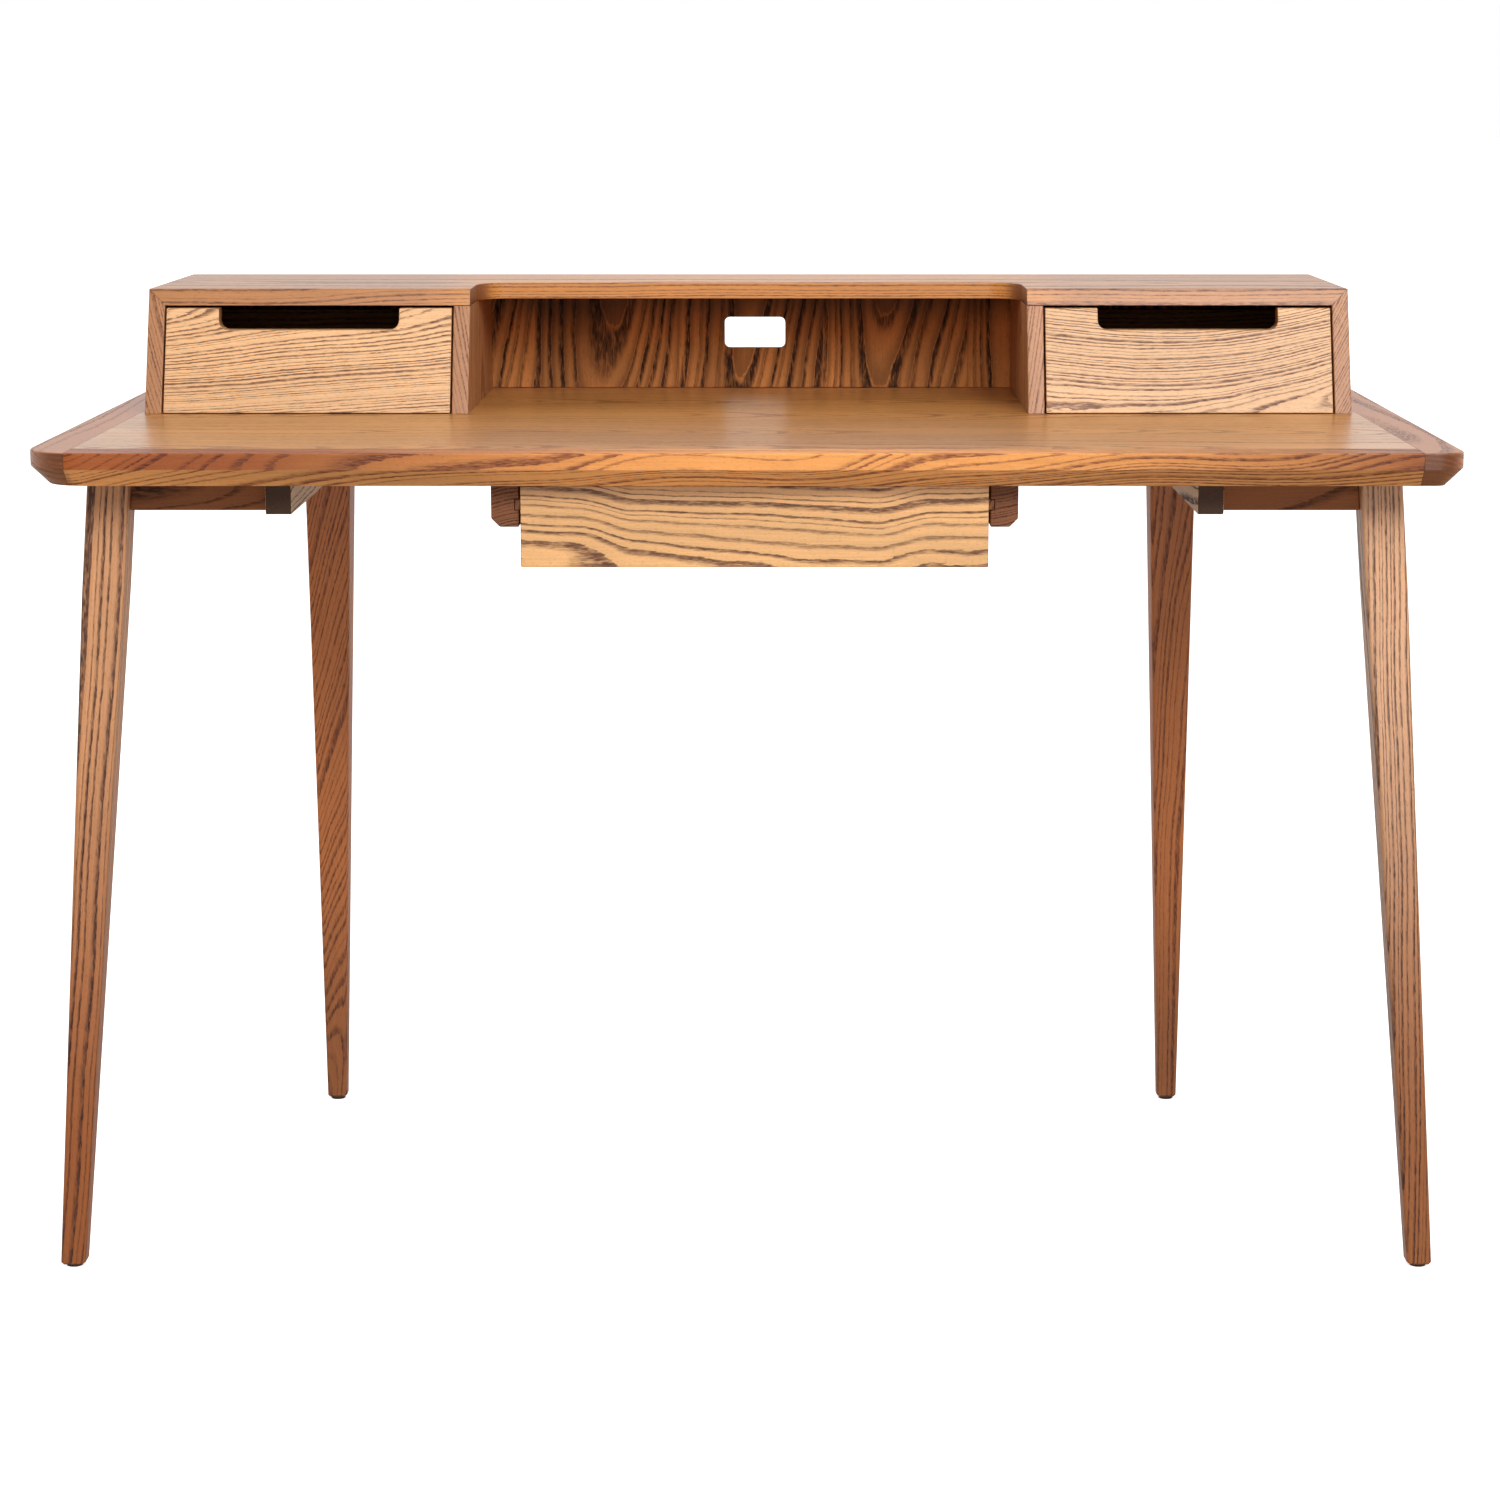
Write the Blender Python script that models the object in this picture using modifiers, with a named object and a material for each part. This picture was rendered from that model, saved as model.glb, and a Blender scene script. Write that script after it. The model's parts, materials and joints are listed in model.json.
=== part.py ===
"""Writing desk in ash: a chamfered top on splayed legs, a raked hutch with two notched drawers and an open
cubby between them, and a shallow drawer hung under the top.

Metres, +Z up, the front faces -Y, and the origin is on the floor under the middle of the top.
"""

import math

import bmesh
import bpy
from mathutils import Matrix, Vector

# ---- Driving dimensions ------------------------------------------------------------------------------

GAP = 0.0003  # between glued or touching pieces
EDGE = 0.001  # eased edge on every board
EDGE_STEPS = 2

TOP_WIDTH = 1.25
TOP_DEPTH = 0.65
TOP_HEIGHT = 0.75
TOP_THICK = 0.030
TOP_CHAMFER = 0.0155  # 45 degrees, all round under the top
TOP_CORNER_LEFT = 0.052  # plan radius of the corners, which the left end has fuller than the right
TOP_CORNER_RIGHT = 0.025
TOP_CORNER_STEPS = 8
TOP_EASING = 0.0016
LIPPING = 0.038  # width of the solid strips round the veneered panel

HUTCH_WIDTH = 1.162
HUTCH_HEIGHT = 0.117
HUTCH_BOARD = 0.016
HUTCH_FRONT = 0.351  # from the front edge of the top to the foot of the hutch
HUTCH_REAR = 0.645
HUTCH_RAKE = 0.395  # run of the front for each metre of rise
CUBBY_WIDTH = 0.539
SHELF_SETBACK = 0.497  # from the front edge of the top to the recessed edge of the shelf
SHELF_CORNER = 0.032
BACK_THICK = 0.012

CABLE_WIDTH = 0.063
CABLE_HEIGHT = 0.032
CABLE_CORNER = 0.0055
CABLE_RISE = 0.0575  # centre of the cable hole above the top
CABLE_OFFSET = 0.004

REVEAL = 0.0016  # gap beside a drawer front
TOP_REVEAL = 0.0024  # gap over a drawer front
RUN_GAP = 0.0008  # between a hutch drawer and the top that it slides on
FRONT_THICK = 0.016
NOTCH_WIDTH = 0.174
NOTCH_DEPTH = 0.0204
NOTCH_CORNER = 0.009

BOX_WALL = 0.010
BOX_SIDE_INSET = 0.0012  # drawer sides behind the ends of the drawer front
HUTCH_BOX_HEIGHT = 0.082
HUTCH_BOX_REAR = 0.619
BOTTOM_THICK = 0.004
BOTTOM_RISE = 0.008  # underside of a drawer bottom above the foot of its sides
GROOVE_DEPTH = 0.004
STOP_DEPTH = 0.012
STOP_WIDTH = 0.050
STOP_HEIGHT = 0.014

CENTRE_OFFSET = 0.009  # the hung drawer sits a little to the right
CENTRE_FRONT = 0.035
CENTRE_WIDTH = 0.410
CENTRE_LOW = 0.646
CENTRE_HIGH = 0.7178
CENTRE_REAR = 0.452
CENTRE_BOX_LOW = 0.656
CENTRE_BOX_HIGH = 0.712
CLEAT_WIDTH = 0.0244
CLEAT_LOW = 0.681
CLEAT_CHAMFER = 0.0075
CLEAT_FRONT = 0.040
CLEAT_REAR = 0.490
RUNNER_HEIGHT = 0.009
RUNNER_MIDDLE = 0.7005
RUNNER_PROUD = 0.0062
RUNNER_PLAY = 0.0006
CENTRE_STOP_FRONT = 0.120
CENTRE_STOP_LOW = 0.7075

BEAM_INNER = 0.399
BEAM_THICK = 0.023
FRAME_LOW = 0.690
BEAM_FRONT = 0.056
RAIL_FRONT = 0.086
RAIL_THICK = 0.020

FRONT_LEG_HEAD = 0.038  # width of a front leg down to its shoulder, where its taper starts
FRONT_LEG_SOLE = 0.0226
REAR_LEG_HEAD = 0.0475
REAR_LEG_SOLE = 0.0203
LEG_SHOULDER = 0.620
LEG_ROUND = 0.004
LEG_ROUND_STEPS = 3
FOOT_CHAMFER = 0.0022
FRONT_LEG_TOP = (0.5640, 0.0965)  # across from the middle, back from the front edge
FRONT_LEG_FOOT = (0.6155, 0.0454)
REAR_LEG_TOP = (0.4255, 0.5150)
REAR_LEG_FOOT = (0.4413, 0.5660)
GLIDE_RADIUS = 0.0075
GLIDE_THICK = 0.0025

SCREW_SHANK = 0.002
SCREW_HEAD = 0.004
SCREW_HEAD_THICK = 0.003
SCREW_CLEARANCE = 0.0004
SCREW_GRIP = 0.012  # length that bites into the underside of the top
SCREW_SIDES = 12
COUNTERBORE = 0.006

# ---- Derived levels ----------------------------------------------------------------------------------

UNDERSIDE = TOP_HEIGHT - TOP_THICK
HUTCH_LOW = TOP_HEIGHT + GAP
HUTCH_HIGH = TOP_HEIGHT + HUTCH_HEIGHT
SHELF_UNDERSIDE = HUTCH_HIGH - HUTCH_BOARD
HALF_HUTCH = HUTCH_WIDTH / 2
SIDE_INNER = HALF_HUTCH - HUTCH_BOARD
CUBBY_HALF = CUBBY_WIDTH / 2
DIVIDER_OUTER = CUBBY_HALF + HUTCH_BOARD
RAKE_NORMAL = Vector((0.0, -1.0, HUTCH_RAKE)).normalized()
BACK_FACE = HUTCH_REAR - BACK_THICK
OVERSIZE = 0.05  # cutters run this far past what they cut
WASTE_REACH = 1.0  # half the size of the block that stands for sawn-off waste, wider than the desk


def back(distance):
    """The Y of a point that lies this far behind the front edge of the top."""
    return distance - TOP_DEPTH / 2


# ---- Scene, materials and placing --------------------------------------------------------------------

for leftover in list(bpy.data.objects):
    bpy.data.objects.remove(leftover)

desk_parts = bpy.data.collections.new("writing_desk")
cutters = bpy.data.collections.new("cutters")
bpy.context.scene.collection.children.link(desk_parts)
bpy.context.scene.collection.children.link(cutters)


def finish(name, color, roughness, metallic=0.0):
    material = bpy.data.materials.new(name)
    material.use_nodes = True
    shader = material.node_tree.nodes["Principled BSDF"]
    shader.inputs["Base Color"].default_value = (*color, 1.0)
    shader.inputs["Roughness"].default_value = roughness
    shader.inputs["Metallic"].default_value = metallic
    return material


ASH_TOP = finish("ash_top", (0.50, 0.27, 0.12), 0.38)
ASH_FRAME = finish("ash_frame", (0.44, 0.23, 0.11), 0.45)
ASH_FRONT = finish("ash_front", (0.72, 0.46, 0.23), 0.48)
ASH_BACK = finish("ash_back", (0.30, 0.14, 0.06), 0.50)
BOX_WOOD = finish("drawer_box_wood", (0.62, 0.44, 0.26), 0.60)
PLYWOOD = finish("plywood", (0.66, 0.50, 0.32), 0.65)
STEEL = finish("zinc_steel", (0.62, 0.62, 0.60), 0.35, 1.0)
NYLON = finish("nylon", (0.10, 0.08, 0.07), 0.55)


def empty(name, location=(0.0, 0.0, 0.0), parent=None):
    frame = bpy.data.objects.new(name, None)
    frame.location = location
    frame.parent = parent
    desk_parts.objects.link(frame)
    return frame


DESK = empty("writing_desk_frame")


def place(piece, material, parent):
    """Moves a new piece from the active collection into the desk's, under its parent empty."""
    for holder in list(piece.users_collection):
        holder.objects.unlink(piece)
    desk_parts.objects.link(piece)
    piece.data.materials.append(material)
    piece.location = piece.location - parent.location
    piece.parent = parent
    return piece


# ---- Shapes ------------------------------------------------------------------------------------------


def block(name, low, high):
    """A box between two corners, with its origin at its middle."""
    low, high = Vector(low), Vector(high)
    bpy.ops.mesh.primitive_cube_add(size=1.0, location=(low + high) / 2)
    piece = bpy.context.object
    piece.name = name
    piece.data.name = name
    piece.data.transform(Matrix.Diagonal((*(high - low), 1.0)))
    return piece


def trim(piece, point, normal):
    """Cuts a placed piece along a plane, and throws away the side that the normal points to."""
    mesh = bmesh.new()
    mesh.from_mesh(piece.data)
    everything = mesh.verts[:] + mesh.edges[:] + mesh.faces[:]
    bmesh.ops.bisect_plane(
        mesh, geom=everything, plane_co=Vector(point) - piece.location, plane_no=normal, clear_outer=True
    )
    bmesh.ops.holes_fill(mesh, edges=[edge for edge in mesh.edges if edge.is_boundary])
    bmesh.ops.recalc_face_normals(mesh, faces=mesh.faces)
    mesh.to_mesh(piece.data)
    mesh.free()


def ease(piece, width=EDGE, steps=EDGE_STEPS):
    bevel = piece.modifiers.new("eased_edges", "BEVEL")
    bevel.width = width
    bevel.segments = steps
    bevel.limit_method = "ANGLE"
    bevel.angle_limit = math.radians(30)


def round_edges(piece, axis, radius, steps, chosen=lambda middle: True):
    """Rounds the edges of a box that run along one axis, where `chosen` says yes to an edge's middle."""
    mesh = bmesh.new()
    mesh.from_mesh(piece.data)
    edges = []
    for edge in mesh.edges:
        run = edge.verts[1].co - edge.verts[0].co
        middle = (edge.verts[0].co + edge.verts[1].co) / 2
        if abs(run[axis]) > 0.99 * run.length and chosen(middle):
            edges.append(edge)
    bmesh.ops.bevel(mesh, geom=edges, offset=radius, segments=steps, profile=0.5, affect="EDGES")
    mesh.to_mesh(piece.data)
    mesh.free()


def as_cutter(shape):
    for holder in list(shape.users_collection):
        holder.objects.unlink(shape)
    cutters.objects.link(shape)
    shape.hide_render = True
    shape.display_type = "WIRE"
    return shape


def cut(piece, shape, operation="DIFFERENCE"):
    boolean = piece.modifiers.new(shape.name, "BOOLEAN")
    boolean.operation = operation
    boolean.object = shape


def saw(piece, point, normal):
    """Saws an eased piece along a plane, which leaves that end sharp. The normal points to the waste."""
    waste = block(f"{piece.name}_waste", (-WASTE_REACH,) * 3, (WASTE_REACH,) * 3)
    waste.rotation_mode = "QUATERNION"
    waste.rotation_quaternion = normal.to_track_quat("Z", "Y")
    waste.location = Vector(point) + normal * WASTE_REACH
    cut(piece, as_cutter(waste))


def board(name, low, high, material, parent=None, width=EDGE):
    """A plain board with eased edges."""
    piece = place(block(name, low, high), material, parent or DESK)
    ease(piece, width)
    return piece


# ---- The top -----------------------------------------------------------------------------------------


def rim_edges(mesh, height):
    """The edges of the outline at one height of the top."""
    level = [vertex for vertex in mesh.verts if abs(vertex.co.z - height) < 1e-6]
    return [edge for edge in mesh.edges if edge.verts[0] in level and edge.verts[1] in level]


def make_top_blank():
    """The whole top in one solid: rounded corners, a chamfer underneath and an eased upper edge."""
    half = Vector((TOP_WIDTH / 2, TOP_DEPTH / 2, 0.0))
    blank = block("top_blank", -half + Vector((0, 0, UNDERSIDE)), half + Vector((0, 0, TOP_HEIGHT)))
    round_edges(blank, 2, TOP_CORNER_LEFT, TOP_CORNER_STEPS, lambda middle: middle.x < 0)
    round_edges(blank, 2, TOP_CORNER_RIGHT, TOP_CORNER_STEPS, lambda middle: middle.x > 0)
    mesh = bmesh.new()
    mesh.from_mesh(blank.data)
    lower = rim_edges(mesh, -TOP_THICK / 2)
    bmesh.ops.bevel(mesh, geom=lower, offset=TOP_CHAMFER, segments=1, affect="EDGES")
    upper = rim_edges(mesh, TOP_THICK / 2)
    bmesh.ops.bevel(mesh, geom=upper, offset=TOP_EASING, segments=EDGE_STEPS, profile=0.5, affect="EDGES")
    mesh.to_mesh(blank.data)
    mesh.free()
    return as_cutter(blank)


def make_top(blank):
    """The top is cut into a veneered panel, two full-depth end lippings, and one each front and rear."""
    end = TOP_WIDTH / 2 - LIPPING
    edge = TOP_DEPTH / 2 - LIPPING
    far_x = TOP_WIDTH / 2 + OVERSIZE
    far_y = TOP_DEPTH / 2 + OVERSIZE
    zones = {
        "top_panel": ((-end, -edge), (end, edge)),
        "top_front_lipping": ((-end, -far_y), (end, -edge - GAP)),
        "top_rear_lipping": ((-end, edge + GAP), (end, far_y)),
        "top_left_lipping": ((-far_x, -far_y), (-end - GAP, far_y)),
        "top_right_lipping": ((end + GAP, -far_y), (far_x, far_y)),
    }
    pieces = {}
    for name, (low, high) in zones.items():
        zone = block(name, (*low, UNDERSIDE - OVERSIZE), (*high, TOP_HEIGHT + OVERSIZE))
        pieces[name] = place(zone, ASH_TOP, DESK)
        cut(pieces[name], blank, "INTERSECT")
    return pieces


# ---- The hutch ---------------------------------------------------------------------------------------


def rake_point(height, inwards=0.0):
    """A point on the raked front of the hutch at this height, moved squarely inwards from that plane."""
    run = HUTCH_FRONT + HUTCH_RAKE * (height - TOP_HEIGHT)
    return Vector((0.0, back(run), height)) - RAKE_NORMAL * inwards


def hutch_board(name, low, high):
    """A board of the hutch with its front trimmed to the rake."""
    piece = block(name, low, high)
    trim(piece, rake_point(TOP_HEIGHT), RAKE_NORMAL)
    place(piece, ASH_FRAME, DESK)
    ease(piece)
    return piece


def make_hutch():
    front, rear = back(HUTCH_FRONT - OVERSIZE), back(HUTCH_REAR)
    foot = HUTCH_LOW - OVERSIZE
    shelf = hutch_board(
        "hutch_top", (-HALF_HUTCH, front, SHELF_UNDERSIDE), (HALF_HUTCH, rear, HUTCH_HIGH)
    )
    recess = block(
        "shelf_recess",
        (-CUBBY_HALF, back(HUTCH_FRONT - OVERSIZE), SHELF_UNDERSIDE - OVERSIZE),
        (CUBBY_HALF, back(SHELF_SETBACK), HUTCH_HIGH + OVERSIZE),
    )
    round_edges(recess, 2, SHELF_CORNER, TOP_CORNER_STEPS, lambda middle: middle.y > 0)
    cut(shelf, as_cutter(recess))
    shelf.modifiers.move(len(shelf.modifiers) - 1, 0)

    for side, name in ((-1, "left"), (1, "right")):
        across = sorted((side * HALF_HUTCH, side * SIDE_INNER))
        upright = hutch_board(
            f"hutch_{name}_side", (across[0], front, foot), (across[1], rear, HUTCH_HIGH)
        )
        mitre = Vector((-side, 0.0, 1.0)).normalized()
        corner = Vector((side * SIDE_INNER, 0.0, SHELF_UNDERSIDE))
        saw(upright, (0.0, 0.0, HUTCH_LOW), Vector((0.0, 0.0, -1.0)))
        saw(upright, corner - mitre * GAP / 2, mitre)
        saw(shelf, corner + mitre * GAP / 2, -mitre)

        across = sorted((side * CUBBY_HALF, side * DIVIDER_OUTER))
        divider = hutch_board(
            f"hutch_{name}_divider",
            (across[0], front, foot),
            (across[1], back(BACK_FACE) - GAP, SHELF_UNDERSIDE + OVERSIZE),
        )
        saw(divider, (0.0, 0.0, HUTCH_LOW), Vector((0.0, 0.0, -1.0)))
        saw(divider, (0.0, 0.0, SHELF_UNDERSIDE - GAP), Vector((0.0, 0.0, 1.0)))

    panel = place(
        block(
            "hutch_back_panel",
            (-SIDE_INNER + GAP, back(BACK_FACE), HUTCH_LOW),
            (SIDE_INNER - GAP, rear, SHELF_UNDERSIDE - GAP),
        ),
        ASH_BACK,
        DESK,
    )
    middle = Vector((CABLE_OFFSET, back((BACK_FACE + HUTCH_REAR) / 2), TOP_HEIGHT + CABLE_RISE))
    reach = Vector((CABLE_WIDTH / 2, OVERSIZE, CABLE_HEIGHT / 2))
    hole = block("cable_hole", middle - reach, middle + reach)
    round_edges(hole, 1, CABLE_CORNER, 5)
    cut(panel, as_cutter(hole))
    ease(panel, EDGE / 2)


# ---- Drawer boxes ------------------------------------------------------------------------------------


def make_box(prefix, parent, across, low, high, front_at, rear, bottom_at):
    """The sides, back and bottom of a drawer behind its front. `front_at` gives the plane that the sides
    butt against as (point, normal), and `bottom_at` is the Y where the bottom starts in its groove."""
    left, right = across
    groove_low = low + BOTTOM_RISE - GAP
    groove_high = low + BOTTOM_RISE + BOTTOM_THICK + GAP
    start = front_at[0].y - OVERSIZE
    for name, outer, inner in (
        ("left_side", left, left + BOX_WALL),
        ("right_side", right, right - BOX_WALL),
    ):
        edges = sorted((outer, inner))
        side = block(f"{prefix}_{name}", (edges[0], start, low), (edges[1], rear, high))
        trim(side, *front_at)
        place(side, BOX_WOOD, parent)
        reach = math.copysign(GROOVE_DEPTH, inner - outer)
        slot = sorted((inner - reach, inner + reach))
        groove = block(
            f"{side.name}_groove",
            (slot[0], start, groove_low),
            (slot[1], rear + OVERSIZE, groove_high),
        )
        ease(side)
        cut(side, as_cutter(groove))
    inner_left = left + BOX_WALL + GAP
    inner_right = right - BOX_WALL - GAP
    board(
        f"{prefix}_back",
        (inner_left, rear - BOX_WALL, groove_high),
        (inner_right, rear, high),
        BOX_WOOD,
        parent,
    )
    spread = GROOVE_DEPTH - GAP
    board(
        f"{prefix}_bottom",
        (left + BOX_WALL - spread, bottom_at, low + BOTTOM_RISE),
        (right - BOX_WALL + spread, rear, low + BOTTOM_RISE + BOTTOM_THICK),
        PLYWOOD,
        parent,
        EDGE / 2,
    )


def groove_front(front, across, low, face_y):
    """The groove in the back of a drawer front that takes the edge of the drawer's bottom."""
    reach = BOX_WALL - GROOVE_DEPTH
    groove = block(
        f"{front.name}_groove",
        (across[0] + reach, face_y, low + BOTTOM_RISE - GAP),
        (across[1] - reach, face_y + OVERSIZE, low + BOTTOM_RISE + BOTTOM_THICK + GAP),
    )
    cut(front, as_cutter(groove))


# ---- Hutch drawers -----------------------------------------------------------------------------------


def make_hutch_drawer(prefix, bay):
    """A drawer in one bay of the hutch. Its front follows the rake and has a finger notch in its top."""
    slide = empty(f"{prefix}_slide", (sum(bay) / 2, back(HUTCH_FRONT), TOP_HEIGHT), DESK)
    low = TOP_HEIGHT + RUN_GAP
    high = SHELF_UNDERSIDE - TOP_REVEAL
    left, right = bay[0] + REVEAL, bay[1] - REVEAL
    front = block(
        f"{prefix}_front", (left, back(HUTCH_FRONT), low), (right, back(HUTCH_FRONT) + OVERSIZE * 2, high)
    )
    trim(front, rake_point(TOP_HEIGHT), RAKE_NORMAL)
    trim(front, rake_point(TOP_HEIGHT, FRONT_THICK), -RAKE_NORMAL)
    place(front, ASH_FRONT, slide)
    middle = (left + right) / 2
    notch = block(
        f"{prefix}_notch",
        (middle - NOTCH_WIDTH / 2, back(HUTCH_FRONT - OVERSIZE), high - NOTCH_DEPTH),
        (middle + NOTCH_WIDTH / 2, back(HUTCH_FRONT + 3 * OVERSIZE), high + OVERSIZE),
    )
    round_edges(notch, 1, NOTCH_CORNER, 6, lambda point: point.z < 0)
    cut(front, as_cutter(notch))
    ease(front)
    across = (left + BOX_SIDE_INSET, right - BOX_SIDE_INSET)
    groove_y = rake_point(low + BOTTOM_RISE + BOTTOM_THICK, FRONT_THICK).y - GROOVE_DEPTH
    groove_front(front, across, low, groove_y)
    make_box(
        prefix,
        slide,
        across,
        low,
        low + HUTCH_BOX_HEIGHT,
        (rake_point(TOP_HEIGHT, FRONT_THICK + GAP), RAKE_NORMAL),
        back(HUTCH_BOX_REAR),
        groove_y + GAP,
    )
    stop_rear = back(BACK_FACE) - GAP
    board(
        f"{prefix}_stop",
        (middle - STOP_WIDTH / 2, stop_rear - STOP_DEPTH, HUTCH_LOW),
        (middle + STOP_WIDTH / 2, stop_rear, HUTCH_LOW + STOP_HEIGHT),
        BOX_WOOD,
    )


# ---- Hung drawer -------------------------------------------------------------------------------------


def make_hung_drawer():
    """The drawer under the top. Strips on its sides run in grooves in the two cleats."""
    slide = empty("centre_drawer_slide", (CENTRE_OFFSET, back(CENTRE_FRONT), RUNNER_MIDDLE), DESK)
    left = CENTRE_OFFSET - CENTRE_WIDTH / 2
    right = CENTRE_OFFSET + CENTRE_WIDTH / 2
    face = back(CENTRE_FRONT + FRONT_THICK)
    across = (left + BOX_SIDE_INSET, right - BOX_SIDE_INSET)
    front = block(
        "centre_drawer_front", (left, back(CENTRE_FRONT), CENTRE_LOW), (right, face, CENTRE_HIGH)
    )
    place(front, ASH_FRONT, slide)
    ease(front)
    groove_front(front, across, CENTRE_BOX_LOW, face - GROOVE_DEPTH)
    make_box(
        "centre_drawer",
        slide,
        across,
        CENTRE_BOX_LOW,
        CENTRE_BOX_HIGH,
        (Vector((0.0, face + GAP, 0.0)), Vector((0.0, -1.0, 0.0))),
        back(CENTRE_REAR),
        face - GROOVE_DEPTH + GAP,
    )
    for side, name in ((-1, "left"), (1, "right")):
        wall = across[0] if side < 0 else across[1]
        strip = sorted((wall + side * GAP, wall + side * RUNNER_PROUD))
        runner = board(
            f"centre_drawer_{name}_runner",
            (strip[0], back(CLEAT_FRONT), RUNNER_MIDDLE - RUNNER_HEIGHT / 2),
            (strip[1], back(CENTRE_REAR), RUNNER_MIDDLE + RUNNER_HEIGHT / 2),
            BOX_WOOD,
            slide,
            EDGE / 2,
        )
        # The nose of the strip runs on past the edge of the front, so that it fills the groove's open end.
        edge = sorted((wall - side * OVERSIZE, (left if side < 0 else right) + side * GAP))
        room = block(
            f"centre_drawer_{name}_runner_room",
            (edge[0], back(CLEAT_FRONT - OVERSIZE), RUNNER_MIDDLE - RUNNER_HEIGHT),
            (edge[1], face + GAP, RUNNER_MIDDLE + RUNNER_HEIGHT),
        )
        cut(runner, as_cutter(room))
        make_cleat(side, name, wall + side * RUNNER_PROUD)
    board(
        "centre_drawer_stop",
        (CENTRE_OFFSET - STOP_WIDTH / 2, back(CENTRE_STOP_FRONT), CENTRE_STOP_LOW),
        (CENTRE_OFFSET + STOP_WIDTH / 2, back(CENTRE_STOP_FRONT) + STOP_DEPTH, UNDERSIDE - GAP),
        BOX_WOOD,
    )


def make_cleat(side, name, strip_edge):
    """One of the two cleats: grooved inside for the drawer's strip, chamfered along its lower outer edge."""
    inner = CENTRE_OFFSET + side * (CENTRE_WIDTH / 2 + REVEAL)
    outer = inner + side * CLEAT_WIDTH
    edges = sorted((inner, outer))
    cleat = block(
        f"cleat_{name}",
        (edges[0], back(CLEAT_FRONT), CLEAT_LOW),
        (edges[1], back(CLEAT_REAR), UNDERSIDE - GAP),
    )
    corner = (outer - side * CLEAT_CHAMFER, 0.0, CLEAT_LOW)
    trim(cleat, corner, Vector((side, 0.0, -1.0)).normalized())
    place(cleat, ASH_FRAME, DESK)
    ease(cleat)
    depth = sorted((inner - side * OVERSIZE, strip_edge + side * RUNNER_PLAY))
    reach = RUNNER_HEIGHT / 2 + RUNNER_PLAY
    groove = block(
        f"cleat_{name}_groove",
        (depth[0], back(CLEAT_FRONT - OVERSIZE), RUNNER_MIDDLE - reach),
        (depth[1], back(CENTRE_REAR) + RUN_GAP, RUNNER_MIDDLE + reach),
    )
    cut(cleat, as_cutter(groove))


# ---- Frame and legs ----------------------------------------------------------------------------------


def make_leg(name, top, foot, head, sole, shoulder):
    """A square leg that splays to its glide. It keeps the width of its head down to the shoulder, then tapers."""
    foot_level = GLIDE_THICK + GAP
    top_level = UNDERSIDE - GAP
    half = Vector((head / 2, head / 2, 0.0))
    leg = block(
        name,
        Vector((top[0], back(top[1]), foot_level)) - half,
        Vector((top[0], back(top[1]), top_level)) + half,
    )
    drift = Vector((foot[0] - top[0], foot[1] - top[1], 0.0))
    mesh = bmesh.new()
    mesh.from_mesh(leg.data)
    if shoulder < top_level:
        everything = mesh.verts[:] + mesh.edges[:] + mesh.faces[:]
        level = Vector((0.0, 0.0, shoulder - leg.location.z))
        bmesh.ops.bisect_plane(mesh, geom=everything, plane_co=level, plane_no=Vector((0.0, 0.0, 1.0)))
    for vertex in mesh.verts:
        height = vertex.co.z + leg.location.z
        narrowing = max(0.0, (shoulder - height) / (shoulder - foot_level))
        width = head + (sole - head) * narrowing
        down = drift * (top_level - height) / (top_level - foot_level)
        vertex.co.x = vertex.co.x * width / head + down.x
        vertex.co.y = vertex.co.y * width / head + down.y
    arrises = [edge for edge in mesh.edges if abs(edge.verts[0].co.z - edge.verts[1].co.z) > head]
    bmesh.ops.bevel(
        mesh, geom=arrises, offset=LEG_ROUND, segments=LEG_ROUND_STEPS, profile=0.5, affect="EDGES"
    )
    sole_level = min(vertex.co.z for vertex in mesh.verts)
    sole = rim_edges(mesh, sole_level)
    bmesh.ops.bevel(mesh, geom=sole, offset=FOOT_CHAMFER, segments=1, affect="EDGES")
    mesh.to_mesh(leg.data)
    mesh.free()
    place(leg, ASH_FRAME, DESK)

    bpy.ops.mesh.primitive_cylinder_add(
        vertices=24,
        radius=GLIDE_RADIUS,
        depth=GLIDE_THICK,
        location=(foot[0], back(foot[1]), GLIDE_THICK / 2),
    )
    glide = bpy.context.object
    glide.name = f"{name}_glide"
    glide.data.shade_smooth()
    glide.data.set_sharp_from_angle(angle=math.radians(30))
    place(glide, NYLON, DESK)


def leg_inner_plane(side, clearance):
    """The plane of a front leg's inner face over its shoulder, moved inwards by a clearance."""
    top = Vector((side * (FRONT_LEG_TOP[0] - FRONT_LEG_HEAD / 2), 0.0, UNDERSIDE))
    foot = Vector((side * (FRONT_LEG_FOOT[0] - FRONT_LEG_HEAD / 2), 0.0, 0.0))
    run = (foot - top).normalized()
    outwards = Vector((-run.z * side, 0.0, run.x * side))
    return top - outwards * clearance, outwards


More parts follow.
